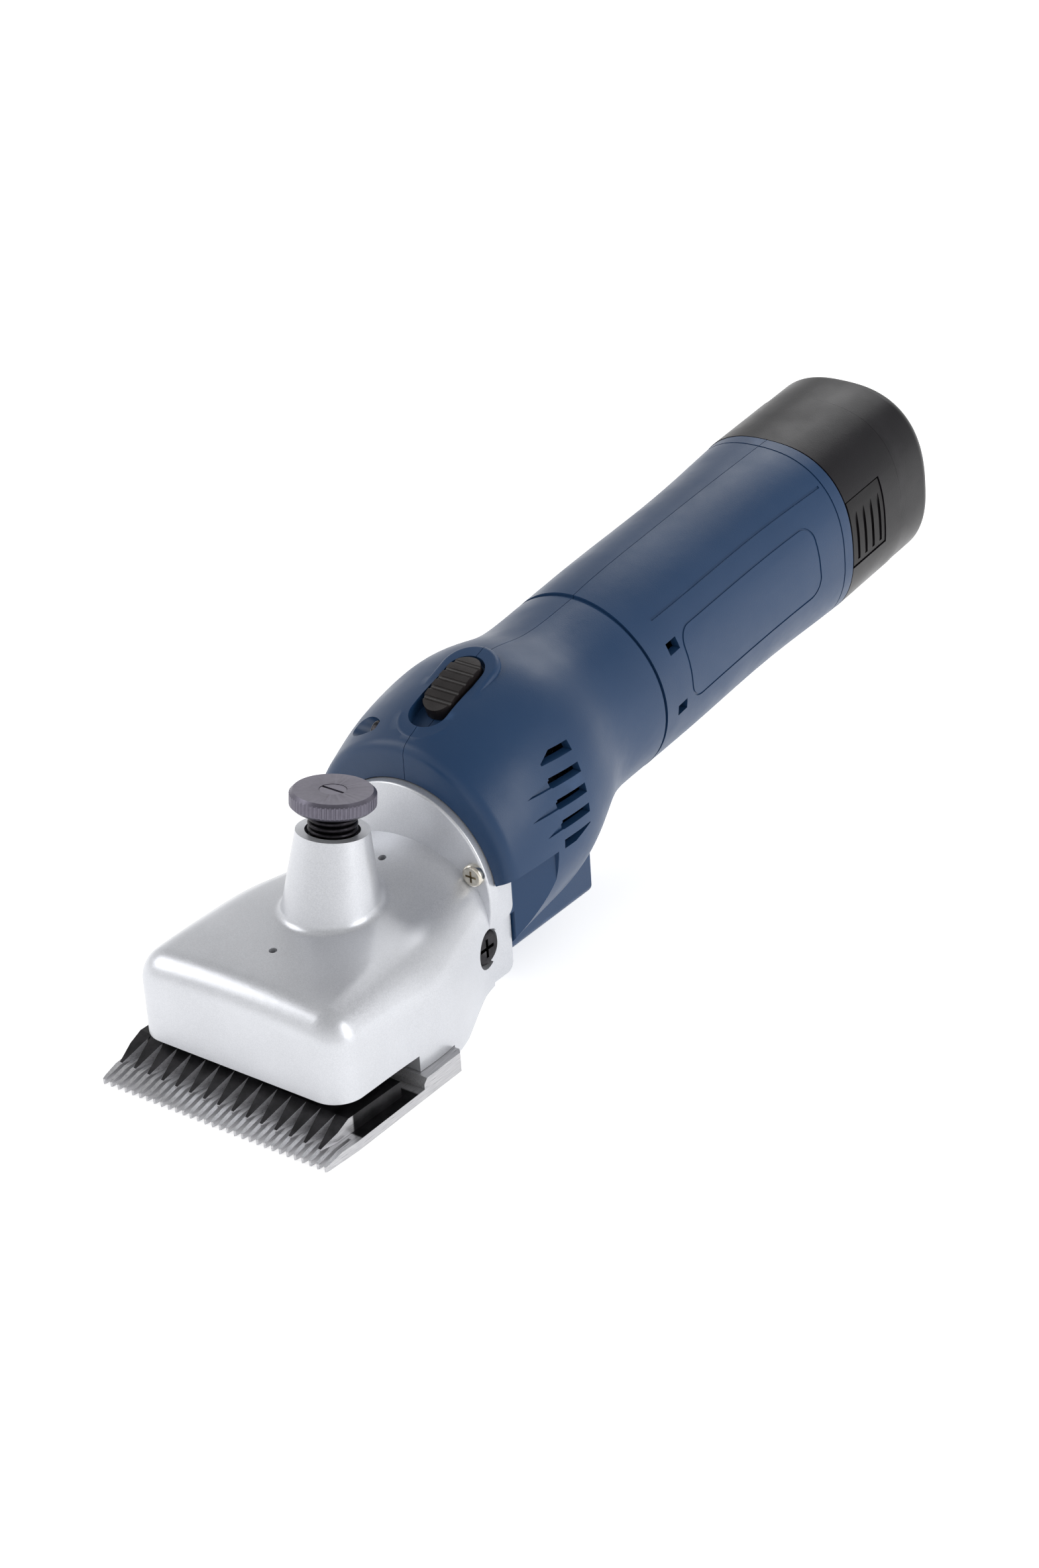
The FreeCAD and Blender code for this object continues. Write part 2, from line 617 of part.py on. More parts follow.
def drive_fingers():
    fingers = []
    for side in (-1, 1):
        body = along_z(FINGER_RADIUS, side * FINGER_X, FINGER_Y, 5.6, LEVER_BASE)
        tip = Part.makeSphere(FINGER_RADIUS * 0.99, V(side * FINGER_X, FINGER_Y, 7.8))
        spigot = along_z(1.6, side * FINGER_X, FINGER_Y, LEVER_BASE, LEVER_TOP)
        lower = box(-BIG, BIG, -BIG, BIG, 0, 7.8)
        rounded = body.cut(lower).fuse(tip.common(lower)).fuse(spigot).removeSplitter()
        fingers.append(turned_fork(rounded))
    return fingers


def pivot_post():
    shaft = along_z(PIVOT_RADIUS, 0, PIVOT_Y, SEAT_Z, HUB_TOP - 1.8)
    collar = along_z(5.5, 0, PIVOT_Y, FLOOR_TOP, LEVER_BASE - 0.3)
    return shaft.fuse(collar).removeSplitter()


def crank_shaft():
    phase = math.radians(CRANK_PHASE_DEG)
    pin_x = CRANK_THROW * math.sin(phase)
    pin_z = CRANK_Z + CRANK_THROW * math.cos(phase)
    shaft = along_y(CRANK_SHAFT_RADIUS, 0, CRANK_Z, 83.5, 99.4)
    disc = along_y(CRANK_DISC_RADIUS, 0, CRANK_Z, 82.9, 85.6)
    pin = along_y(1.8, pin_x, pin_z, 77.3, 83.5)
    ball = Part.makeSphere(2.5, V(pin_x, 77.3, pin_z))
    return fuse_all([shaft, disc, pin, ball])


def gear_profile(teeth, y, phase):
    """Trapezoid teeth with backlash, drawn in the plane at y around the local origin."""
    pitch_radius = GEAR_MODULE * teeth / 2
    tip_radius = pitch_radius + 0.85 * GEAR_MODULE
    root_radius = pitch_radius - 1.2 * GEAR_MODULE
    step = 2 * math.pi / teeth
    points = []
    for index in range(teeth):
        centre = phase + index * step
        for radius, share in ((root_radius, -0.27), (tip_radius, -0.11), (tip_radius, 0.11), (root_radius, 0.27)):
            angle = centre + share * step
            points.append(V(radius * math.sin(angle), y, radius * math.cos(angle)))
    return points


def gear(teeth, centre_z, y0, width, bore, phase):
    solid = prism(gear_profile(teeth, y0, phase), V(0, width, 0))
    solid.translate(V(0, 0, centre_z))
    return solid.cut(along_y(bore, 0, centre_z, y0 - 1, y0 + width + 1))


def drive_gear():
    wheel = gear(GEAR_TEETH, CRANK_Z, GEAR_FRONT, GEAR_WIDTH, CRANK_SHAFT_RADIUS, 0)
    holes = []
    for index in range(5):
        angle = 2 * math.pi * (index + 0.5) / 5
        holes.append(along_y(1.7, 6.3 * math.sin(angle), CRANK_Z + 6.3 * math.cos(angle),
                             GEAR_FRONT - 1, GEAR_FRONT + GEAR_WIDTH + 1))
    return cut_all(wheel, holes)


# --- motor ------------------------------------------------------------------------
def motor_pinion():
    half_tooth = math.pi + math.pi / PINION_TEETH
    return gear(PINION_TEETH, MOTOR_Z, GEAR_FRONT - 0.6, GEAR_WIDTH + 1.2, MOTOR_SHAFT_RADIUS, half_tooth)


def motor_can():
    body = tube(MOTOR_RADIUS, MOTOR_RADIUS - 1.5, V(0, MOTOR_FRONT, MOTOR_Z), V(0, MOTOR_BACK, MOTOR_Z))
    face = along_y(MOTOR_RADIUS, 0, MOTOR_Z, MOTOR_FRONT, MOTOR_FRONT + 2)
    face = face.cut(along_y(4.5, 0, MOTOR_Z, MOTOR_FRONT - 1, MOTOR_FRONT + 3))
    slots = []
    for index in range(6):
        angle = math.radians(60 * index + 30)
        slots.append(along_y(2.4, 13.5 * math.sin(angle), MOTOR_Z + 13.5 * math.cos(angle),
                             MOTOR_FRONT - 1, MOTOR_FRONT + 3))
    return body.fuse(cut_all(face, slots)).removeSplitter()


def motor_magnets():
    ring = tube(MOTOR_RADIUS - 1.55, ARMATURE_RADIUS + 0.6, V(0, 105, MOTOR_Z), V(0, 128, MOTOR_Z))
    wedge = prism([V(0, 104, MOTOR_Z), V(40, 104, MOTOR_Z + 26), V(40, 104, MOTOR_Z - 26)], V(0, 26, 0))
    right = ring.common(wedge)
    return [right, mirrored(right)]


def armature():
    core = along_y(ARMATURE_RADIUS, 0, MOTOR_Z, 106, 127)
    slots = []
    for index in range(ARMATURE_SLOTS):
        angle = 2 * math.pi * index / ARMATURE_SLOTS
        x = 11.5 * math.sin(angle)
        z = MOTOR_Z + 11.5 * math.cos(angle)
        slots.append(along_y(2.6, x, z, 105, 128))
    core = cut_all(core, slots)
    return core.cut(along_y(MOTOR_SHAFT_RADIUS, 0, MOTOR_Z, 105, 128))


def armature_windings():
    coils = []
    for index in range(ARMATURE_SLOTS):
        angle = 2 * math.pi * index / ARMATURE_SLOTS
        x = 11.5 * math.sin(angle)
        z = MOTOR_Z + 11.5 * math.cos(angle)
        coils.append(along_y(2.55, x, z, 103.8, 129.2))
    return coils


def commutator():
    body = along_y(4.6, 0, MOTOR_Z, 130.2, 135.8)
    body = body.cut(along_y(MOTOR_SHAFT_RADIUS, 0, MOTOR_Z, 129, 137))
    slits = []
    for index in range(ARMATURE_SLOTS):
        slit = box(-0.25, 0.25, 129, 137, MOTOR_Z + 3.9, MOTOR_Z + 6)
        slit.rotate(V(0, 0, MOTOR_Z), Y_AXIS, 360 * (index + 0.5) / ARMATURE_SLOTS)
        slits.append(slit)
    return cut_all(body, slits)


def brushes():
    right = box(4.75, 11.0, 131.2, 134.8, MOTOR_Z - 1.8, MOTOR_Z + 1.8)
    return [right, mirrored(right)]


def motor_end_cap():
    disc = along_y(MOTOR_RADIUS, 0, MOTOR_Z, MOTOR_BACK + 0.02, MOTOR_BACK + 2.2)
    hub = along_y(6.4, 0, MOTOR_Z, MOTOR_BACK + 0.02, 142.2)
    plug = along_y(MOTOR_RADIUS - 1.6, 0, MOTOR_Z, 130.6, MOTOR_BACK + 1)
    well = along_y(MOTOR_RADIUS - 3.4, 0, MOTOR_Z, 130.0, MOTOR_BACK - 1.1)
    holders = [box(side * 11.6 - 6.6 * (side > 0), side * 11.6 + 6.6 * (side < 0), 130.7, MOTOR_BACK - 0.5,
                   MOTOR_Z - 3.4, MOTOR_Z + 3.4) for side in (-1, 1)]
    solid = fuse_all([disc, hub, plug.cut(well)] + holders)
    tools = [along_y(4.05, 0, MOTOR_Z, 139.0, 143), along_y(2.6, 0, MOTOR_Z, 129, 143)]
    tools.append(along_y(4.95, 0, MOTOR_Z, 129, 136.4))
    tools += [box(side * 8 - 3.3, side * 8 + 3.3, 131.15, 134.85, MOTOR_Z - 1.85, MOTOR_Z + 1.85)
              for side in (-1, 1)]
    for index in range(6):
        angle = math.radians(60 * index + 30)
        tools.append(along_y(2.3, 13.5 * math.sin(angle), MOTOR_Z + 13.5 * math.cos(angle), 129, 140))
    return cut_all(solid, tools)


def motor_shaft():
    return along_y(MOTOR_SHAFT_RADIUS, 0, MOTOR_Z, 88.4, 148.0)


def bearing(outer, bore, z, y0, y1):
    return tube(outer, bore + RUNNING_CLEARANCE, V(0, y0, z), V(0, y1, z))


def cooling_fan():
    hub = along_y(4.5, 0, MOTOR_Z, 142.8, 147.6)
    disc = along_y(15.5, 0, MOTOR_Z, 142.8, 143.8)
    blades = []
    for index in range(9):
        blade = box(4.0, 15.5, 143.8, 147.4, MOTOR_Z - 0.5, MOTOR_Z + 0.5)
        blade.rotate(V(0, 0, MOTOR_Z), Y_AXIS, 40 * index)
        blades.append(blade)
    solid = fuse_all([hub, disc] + blades)
    return solid.cut(along_y(MOTOR_SHAFT_RADIUS, 0, MOTOR_Z, 140, 150))


def gearbox_plate():
    """Round carrier behind the flange that holds the crank's front bearing."""
    plate = along_y(19.2, 0, CRANK_Z, 86.0, 89.8)
    plate = plate.cut(along_y(6.5, 0, CRANK_Z, 85, 91))
    plate = plate.cut(along_y(3.2, 0, MOTOR_Z, 87.6, 91))
    return plate.cut(box(-BIG, BIG, 80, 95, -BIG, BLOCK_TOP + 0.6))


def motor_mount():
    """Plate between gears and motor: rear crank bearing and front motor bearing."""
    plate = along_y(MOTOR_RADIUS, 0, MOTOR_Z, 95.6, 99.95)
    foot = along_y(10.0, 0, CRANK_Z, 95.6, 99.95)
    solid = plate.fuse(foot).removeSplitter()
    return cut_all(solid, [along_y(6.0, 0, CRANK_Z, 94, 99.5), along_y(5.0, 0, MOTOR_Z, 94, 101)])


# --- housing ----------------------------------------------------------------------
def section_wire(s, centre, half_width, half_height, power):
    points = []
    for index in range(SECTION_POINTS):
        angle = 2 * math.pi * index / SECTION_POINTS
        c = math.cos(angle)
        t = math.sin(angle)
        x = half_width * math.copysign(abs(c) ** (2 / power), c)
        h = half_height * math.copysign(abs(t) ** (2 / power), t)
        points.append(V(x, s, centre + h))
    curve = Part.BSplineCurve()
    curve.interpolate(Points=points, PeriodicFlag=True)
    return Part.Wire([curve.toShape()])


def dome_loft(inset):
    wires = [section_wire(s, h, radius - inset, radius - inset, 2.0) for s, h, radius in DOME_STATIONS]
    return Part.makeLoft(wires, True, False)


def handle_loft(inset):
    wires = [section_wire(s, HANDLE_CENTRE_H, width - inset, height - inset, power)
             for s, width, height, power in HANDLE_STATIONS]
    return Part.makeLoft(wires, True, False)


def heel(inset):
    """Chin below the motor dome: flat base, upright rear face, rounded lower corners."""
    block = box(-HEEL_HALF + inset, HEEL_HALF - inset, HOUSING_FRONT - 1, HEEL_BACK - inset, HEEL_BASE + inset, 42.0)
    lower = edges_where(block, lambda e: e.BoundBox.ZMax < HEEL_BASE + inset + 0.01 and e.CenterOfMass.y > HEEL_FRONT)
    return block.makeFillet(max(HEEL_ROUND - inset, 0.5), lower)


def housing_outer():
    body = dome_loft(0).fuse(handle_loft(0))
    body = placed(body, HANDLE)
    body = body.fuse(heel(0)).removeSplitter()
    return body.common(box(-BIG, BIG, HOUSING_FRONT, BIG, -BIG, BIG))


def housing_inner():
    body = placed(dome_loft(WALL).fuse(handle_loft(WALL)), HANDLE)
    body = body.fuse(heel(WALL)).removeSplitter()
    return body.common(box(-BIG, BIG, HOUSING_FRONT + 4.1, BIG, -BIG, BIG))


def ring_groove(s, width, depth):
    """Shallow groove round the handle at distance s along its axis."""
    slab = box(-60, 60, s - width / 2, s + width / 2, -60, 60)
    inner = handle_loft(depth) if s > 2 else dome_loft(depth).fuse(handle_loft(depth))
    return placed(slab.cut(inner), HANDLE)


def side_panel_groove():
    """Raised-looking panel on the handle's side: a fine rounded outline and one long line above it."""
    def plate(grow):
        body = box(0, 60, 15.5 - grow, 80.5 + grow, -7.0 - grow, 14.6 + grow)
        corners = edges_where(body, lambda e: e.BoundBox.XLength > 50)
        return body.makeFillet(5.0 + grow, corners)
    frame = plate(PANEL_GROOVE / 2).cut(plate(-PANEL_GROOVE / 2))
    upper = box(0, 60, 9.5, 91.0, 20.0, 20.0 + PANEL_GROOVE)
    return placed(frame.fuse(upper).cut(handle_loft(PANEL_DEPTH)), HANDLE)


def handle_windows():
    upper = box(12, 60, 9.0, 13.7, 10.7, 14.0)
    lower = box(12, 60, 7.8, 12.4, -7.4, -4.2)
    return placed(upper.fuse(lower), HANDLE)


def vent_slots():
    """Five stacked slots, the first trimmed to a wedge and the last to a curve."""
    slots = []
    for index in range(VENT_COUNT):
        top = VENT_TOP_Z - index * VENT_PITCH
        slots.append(box(16, 60, VENT_Y[0], VENT_Y[1], top - VENT_HEIGHT, top))
    trim = [
        prism([V(0, VENT_Y[0] - 1, VENT_TOP_Z - VENT_HEIGHT), V(0, VENT_Y[0] - 1, VENT_TOP_Z + 2),
               V(0, VENT_Y[1] - 3, VENT_TOP_Z + 2)], V(60, 0, 0)),
        prism([V(0, VENT_Y[1] + 1, VENT_TOP_Z - 4 * VENT_PITCH - VENT_HEIGHT - 1),
               V(0, VENT_Y[1] + 1, VENT_TOP_Z - 4 * VENT_PITCH),
               V(0, VENT_Y[0] + 2, VENT_TOP_Z - 4 * VENT_PITCH - VENT_HEIGHT - 1)], V(60, 0, 0)),
    ]
    group = fuse_all(slots)
    return cut_all(group, trim)


def vent_grooves():
    """Shallow tapering scoops that run forward from two of the slots."""
    scoops = []
    for index, reach in ((1, 8.5), (2, 9.5), (3, 6.0)):
        low = VENT_TOP_Z - index * VENT_PITCH - VENT_HEIGHT + 0.2
        scoops.append(prism([V(0, VENT_Y[0] + 0.5, low), V(0, VENT_Y[0] - reach, low - 0.3),
                             V(0, VENT_Y[0] + 0.5, low + VENT_HEIGHT * 0.8)], V(60, 0, 0)))
    return fuse_all(scoops).cut(placed(dome_loft(0.7), HANDLE))


def switch_bead():
    """Raised outline round the switch recess."""
    ring = stadium(RECESS_LENGTH + 9, RECESS_WIDTH + 6, -9.0, 1.0)
    ring.translate(V(0, -2.6, 0))
    top = edges_where(ring, lambda e: e.CenterOfMass.z > 0.99 and e.Length > 3)
    return placed(ring.makeFillet(1.4, top), SWITCH)


def switch_recess():
    pocket = stadium(RECESS_LENGTH, RECESS_WIDTH, -2.2, 12.0)
    pocket.translate(V(0, -2.6, 0))
    slot = stadium(15.0, 4.0, -12.0, 0)
    slot.translate(V(0, -2.5, 0))
    return placed(pocket.fuse(slot), SWITCH)


def screw_places():
    """Housing screw axes: (y, z, head seat x, boss radius), all along X."""
    return (
        (92.5, 66.0, -13.0, 4.6),
        (124.0, 15.5, -14.0, 4.4),
        (196.5, 75.0, -11.0, 4.4),
        (199.0, 35.5, -11.0, 4.4),
        (155.5, 31.5, -8.5, 4.0),
    )


def screw_bosses():
    return [along_x(radius, y, z, -45, 45) for y, z, seat, radius in screw_places()]


def screw_holes():
    tools = []
    for y, z, seat, radius in screw_places():
        tools.append(along_x(radius - 1.4, y, z, -60, seat))
        tools.append(along_x(1.6, y, z, -60, 9.0))
    return tools


def housing_screws():
    screws = []
    for y, z, seat, radius in screw_places():
        screw = pan_screw(radius - 1.7, 1.8, 1.5, 8.5 - seat)
        screws.append(placed(screw, FreeCAD.Placement(V(seat, y, z), FreeCAD.Rotation(Y_AXIS, -90))))
    return screws


def side_flats(depth):
    """Flat on each side beside the locating lugs: it runs out backwards and upwards into the dome."""
    inner = FLAT_X - depth
    front = HOUSING_FRONT - 2
    plan = [V(inner, front, -BIG), V(inner, FLAT_START, -BIG), V(inner + FLAT_RISE, FLAT_END, -BIG),
            V(inner + 20.0, FLAT_END, -BIG), V(inner + 20.0, front, -BIG)]
    top = FLAT_TOP + depth
    high = top + 20.0 * FLAT_ROOF_SLOPE
    roof = [V(inner - 1, front, top - FLAT_ROOF_SLOPE), V(inner + 20.0, front, high), V(inner + 20.0, front, high + 1),
            V(inner - 1, front, high + 1)]
    right = prism(plan, V(0, 0, BIG + high)).cut(prism(roof, V(0, FLAT_END - front, 0)))
    return right.fuse(mirrored(right))


def housing_shell():
    outer = housing_outer()
    rim = edges_where(outer, lambda e: e.BoundBox.YMax < HOUSING_FRONT + 0.01 and e.CenterOfMass.z > 33)
    outer = outer.makeFillet(HOUSING_FRONT_RADIUS, rim).cut(side_flats(0))
    inner = housing_inner().cut(side_flats(WALL))
    keep_clear = fuse_all([
        along_y(MOTOR_RADIUS + 0.5, 0, MOTOR_Z, 80, 141),
        box(-BIG, BIG, 60, HOUSING_FRONT + 4.0, -BIG, BIG),
    ])
    bosses = fuse_all([boss.common(outer) for boss in screw_bosses()]).cut(keep_clear)
    bead = switch_bead()
    shell = outer.fuse(bead).cut(inner.cut(bosses))
    well = placed(stadium(RECESS_LENGTH + 4, RECESS_WIDTH + 4, -4.4, 0), SWITCH)
    well.translate(V(0, -2.4, -0.8))
    shell = shell.fuse(well.common(outer)).removeSplitter()
    return shell


def housing_tools():
    tools = [
        switch_recess(),
        along_y(FLANGE_RADIUS + 0.3, 0, FLANGE_Z, HOUSING_FRONT - 1, FLANGE_BACK + 0.25),
        along_y(19.5, 0, CRANK_Z, HOUSING_FRONT - 1, HOUSING_FRONT + 6),
        along_y(3.4, 0, MOTOR_Z, HOUSING_FRONT - 1, HOUSING_FRONT + 6),
        box(-BIG, BIG, 80, HEEL_FRONT, -10, CHEEK_TOP + 0.4),
        ring_groove(0.4, 1.1, 0.9),
        ring_groove(JOINT_S - 4.2, 0.5, 0.3),
        vent_slots(),
        mirrored(vent_slots()),
        vent_grooves(),
        mirrored(vent_grooves()),
        side_panel_groove(),
        mirrored(side_panel_groove()),
        handle_windows(),
        mirrored(handle_windows()),
    ]
    for side in (-1, 1):
        notch = side_lug(0.3, 60.0)
        tools.append(notch if side > 0 else mirrored(notch))
        tools.append(along_y(1.75, side * FLANGE_SCREW_X, FLANGE_SCREW_Z, HOUSING_FRONT - 1, HOUSING_FRONT + 6))
    return tools + screw_holes()


def housing_halves():
    shell = cut_all(housing_shell(), housing_tools())
    right = shell.common(box(SPLIT_GAP, BIG, -BIG, BIG, -BIG, BIG))
    left = shell.common(box(-BIG, -SPLIT_GAP, -BIG, BIG, -BIG, BIG))
    return left, right


# --- switch and electrics ---------------------------------------------------------
def switch_slider():
    """Thumb slider with a crowned, ribbed top and a drive peg below."""
    crown_radius = 44.0
    bar = stadium(SLIDER_LENGTH, SLIDER_WIDTH, -1.9, 4.0)
    crown = rod(crown_radius, V(-20, 0, 2.6 - crown_radius), V(20, 0, 2.6 - crown_radius))
    bar = bar.common(crown)
    grooves = []
    for index in range(-2, 3):
        y = index * 3.5
        z = 2.6 - crown_radius + math.sqrt((crown_radius + 0.15) ** 2 - y ** 2)
        grooves.append(rod(0.75, V(-9, y, z), V(9, y, z)))
    peg = box(-1.5, 1.5, -2.5, 2.5, -5.6, -1.9)
    return placed(cut_all(bar, grooves).fuse(peg).removeSplitter(), SWITCH)


def switch_module():
    top = MOTOR_Z + MOTOR_RADIUS
    return box(-6.0, 6.0, MOTOR_FRONT + 4, MOTOR_FRONT + 20, top + 0.2, top + 2.9)


def control_board():
    return placed(box(-17, 17, 16, 50, -7.0, -5.4), HANDLE)


def board_parts():
    capacitor = rod(4.0, V(-8, 24, -5.35), V(-8, 24, 6.0))
    chips = [box(2, 9, 22, 27, -5.35, -3.6), box(4, 8, 32, 37, -5.35, -3.8), box(-12, -4, 34, 44, -5.35, -1.0)]
    return [placed(part, HANDLE) for part in [capacitor] + chips]


def contact_block():
    body = box(-14, 14, 51.0, 56.6, -9, 9)
    return placed(cut_all(body, [box(side * 7 - 0.45, side * 7 + 0.45, 50, 58, -3.5, 3.5) for side in (-1, 1)]),
                  HANDLE)


def contact_blades():
    blades = [box(side * 7 - 0.4, side * 7 + 0.4, 50.4, STEM_FRONT_S + 4.8, -3.4, 3.4) for side in (-1, 1)]
    return [placed(blade, HANDLE) for blade in blades]


def lead(points, radius):
    """Insulated wire swept along a smooth curve through the points."""
    curve = Part.BSplineCurve()
    curve.interpolate(points)
    spine = Part.Wire([curve.toShape()])
    profile = Part.Wire([Part.makeCircle(radius, points[0], curve.tangent(curve.FirstParameter)[0])])
    return spine.makePipeShell([profile], True, False)


def motor_leads():
    """Two wires from the motor's rear cap, round the fan and down to the control board."""
    path = ((139.3, 58.3), (146.0, 59.2), (158.0, 60.5), (171.0, 58.8), (180.4, 53.6), (182.3, 48.3))
    return [lead([V(side * 13.5, y, z) for y, z in path], LEAD_RADIUS) for side in (-1, 1)]


def battery_leads():
    """Two short loops from the control board up to the contact block."""
    path = ((47.2, -5.1), (46.9, -1.0), (48.2, 3.0), (50.9, 4.6))
    return [placed(lead([V(side * 10.5, s, h) for s, h in path], LEAD_RADIUS), HANDLE) for side in (-1, 1)]


# --- battery ----------------------------------------------------------------------
def battery_section(s, inset, power=2.5):
    return section_wire(s, -0.4, 26.9 - inset, 28.4 - inset, power)


def battery_shell(inset, s0, s1):
    return Part.makeLoft([battery_section(s0, inset), battery_section(s1, inset)], True, False)


def latch_opening(side):
    tool = box(18.0, 40, LATCH_S[0] - 3, LATCH_S[1] + 0.4, LATCH_H[0] - 0.5, LATCH_H[1] + 0.5)
    return tool if side > 0 else mirrored(tool)


def battery_case():
    outer = battery_shell(0, JOINT_S + BATTERY_GAP, BATTERY_CAP_S)
    stem = Part.makeLoft([section_wire(STEM_FRONT_S, -0.4, STEM_HALF_WIDTH, STEM_HALF_HEIGHT, 2.6),
                          section_wire(JOINT_S + 2, -0.4, STEM_HALF_WIDTH, STEM_HALF_HEIGHT, 2.6)], True, False)
    stem_hole = Part.makeLoft([section_wire(STEM_FRONT_S + 1.6, -0.4, 19.4, 20.8, 2.6),
                               section_wire(BATTERY_CAP_S + 1, -0.4, 19.4, 20.8, 2.6)], True, False)
    solid = outer.fuse(stem).removeSplitter().cut(stem_hole)
    for side in (-1, 1):
        pocket = latch_opening(side).cut(stem_core())
        solid = solid.cut(pocket)
        groove = box(24.9, 40, JOINT_S - 1, 117.0, 14.4, 15.6)
        solid = solid.cut(groove if side > 0 else mirrored(groove))
        slot = box(side * 7 - 0.75, side * 7 + 0.75, STEM_FRONT_S - 1, STEM_FRONT_S + 3, -3.8, 3.8)
        solid = solid.cut(slot)
    return placed(solid, HANDLE)


def stem_core():
    return Part.makeLoft([section_wire(STEM_FRONT_S, -0.4, 20.4, 21.8, 2.6),
                          section_wire(BATTERY_CAP_S, -0.4, 20.4, 21.8, 2.6)], True, False)


def battery_cap():
    wires = [battery_section(BATTERY_CAP_S + 0.25, 0.15), battery_section(BATTERY_END_S, 0.15)]
    cap = Part.makeLoft(wires, True, False)
    rim = edges_where(cap, lambda e: e.CenterOfMass.y > BATTERY_END_S - 0.1)
    cap = cap.makeFillet(4.5, rim)
    hollow = Part.makeLoft([section_wire(BATTERY_CAP_S - 1, -0.4, 19.4, 20.8, 2.6),
                            section_wire(BATTERY_END_S - 5.0, -0.4, 19.4, 20.8, 2.6)], True, False)
    return placed(cap.cut(hollow), HANDLE)


def battery_cells():
    start = STEM_FRONT_S + 7.5
    spread = CELL_RADIUS + 0.15
    places = ((-spread, -spread * 0.62), (spread, -spread * 0.62), (0, spread * 1.12))
    return [placed(rod(CELL_RADIUS, V(x, start, h), V(x, start + CELL_LENGTH, h)), HANDLE) for x, h in places]


def cell_board():
    return placed(box(-13, 13, STEM_FRONT_S + 5.2, STEM_FRONT_S + 6.8, -13, 13), HANDLE)


def battery_terminals():
    clips = []
    for side in (-1, 1):
        for offset in (-1, 1):
            x = side * 7 + offset * 1.0
            clips.append(placed(box(x - 0.25, x + 0.25, STEM_FRONT_S + 1.8, STEM_FRONT_S + 5.1, -3.4, 3.4), HANDLE))
    return clips


def latch_button(side):
    """Side latch button with upright grip ribs; it moves inwards to free the battery."""
    outer = battery_shell(0.25, LATCH_S[0], LATCH_S[1])
    block = box(22.6, 40, LATCH_S[0] + 0.2, LATCH_S[1], LATCH_H[0], LATCH_H[1])
    button = outer.common(block)
    ribs = []
    for index in range(4):
        s = LATCH_S[0] + 2.4 + 3.9 * index
        ribs.append(box(26.0, 40, s, s + 1.3, LATCH_H[0] + 1.2, LATCH_H[1] - 1.2))
    spring_hole = rod(1.9, V(22.0, 106.0, 2.0), V(24.4, 106.0, 2.0))
    button = cut_all(button, ribs + [spring_hole])
    solid = placed(button, HANDLE)
    return solid if side > 0 else mirrored(solid)


def latch_spring(side):
    spring = rod(1.6, V(20.65, 106.0, 2.0), V(22.5, 106.0, 2.0))
    solid = placed(spring, HANDLE)
    return solid if side > 0 else mirrored(solid)


# --- output -----------------------------------------------------------------------
def all_nodes():
    left, right = housing_halves()
    return {
        "comb": [comb()],
        "comb_screws": [comb_screw(-COMB_SCREW_X), comb_screw(COMB_SCREW_X)],
        "cutter": [turned_fork(cutter())],
        "head_casting": [head_casting()],
        "head_side_screws": side_screws(),
        "flange_screws": flange_screws(),
        "tension_knob": [tension_knob()],
        "knob_screw": [knob_screw()],
        "tension_stem": [tension_stem()],
        "pressure_pin": [pressure_pin()],
        "tension_spring": [tension_spring()],
        "fork_lever": [fork_lever()],
        "drive_fingers": drive_fingers(),
        "fork_pivot_post": [pivot_post()],
        "crank_shaft": [crank_shaft()],
        "drive_gear": [drive_gear()],
        "crank_front_bearing": [bearing(6.5, CRANK_SHAFT_RADIUS, CRANK_Z, 86.2, 89.6)],
        "crank_rear_bearing": [bearing(6.0, CRANK_SHAFT_RADIUS, CRANK_Z, 96.0, 99.4)],
        "gearbox_plate": [gearbox_plate()],
        "motor_mount": [motor_mount()],
        "motor_pinion": [motor_pinion()],
        "motor_shaft": [motor_shaft()],
        "motor_front_bearing": [bearing(5.0, MOTOR_SHAFT_RADIUS, MOTOR_Z, 96.4, 99.9)],
        "motor_rear_bearing": [bearing(4.05, MOTOR_SHAFT_RADIUS, MOTOR_Z, 139.2, 142.0)],
        "motor_can": [motor_can()],
        "motor_magnets": motor_magnets(),
        "armature_core": [armature()],
        "armature_windings": armature_windings(),
        "commutator": [commutator()],
        "carbon_brushes": brushes(),
        "motor_end_cap": [motor_end_cap()],
        "cooling_fan": [cooling_fan()],
        "housing_left": [left],
        "housing_right": [right],
        "housing_screws": housing_screws(),
        "switch_slider": [switch_slider()],
        "switch_module": [switch_module()],
        "control_board": [control_board()],
        "board_parts": board_parts(),
        "contact_block": [contact_block()],
        "contact_blades": contact_blades(),
        "motor_leads": motor_leads(),
        "battery_leads": battery_leads(),
        "battery_case": [battery_case()],
        "battery_end_cap": [battery_cap()],
        "battery_cells": battery_cells(),
        "battery_board": [cell_board()],
        "battery_terminals": battery_terminals(),
        "latch_button_left": [latch_button(-1)],
        "latch_button_right": [latch_button(1)],
        "latch_spring_left": [latch_spring(-1)],
        "latch_spring_right": [latch_spring(1)],
    }


def export(nodes):
    os.makedirs("parts", exist_ok=True)
    shift = V(0, -COMB_SCREW_Y, 0)
    for name, solids in nodes.items():
        shape = solids[0] if len(solids) == 1 else Part.makeCompound(solids)
        shape = shape.copy()
        shape.translate(shift)
        shape.exportStep(os.path.join("parts", name + ".step"))
        box_ = shape.BoundBox
        print("%-22s solids %d valid %s volume %9.1f  x %.1f..%.1f y %.1f..%.1f z %.1f..%.1f" % (
            name, len(shape.Solids), shape.isValid(), shape.Volume, box_.XMin, box_.XMax, box_.YMin, box_.YMax,
            box_.ZMin, box_.ZMax))


export(all_nodes())
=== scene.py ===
import json
import math

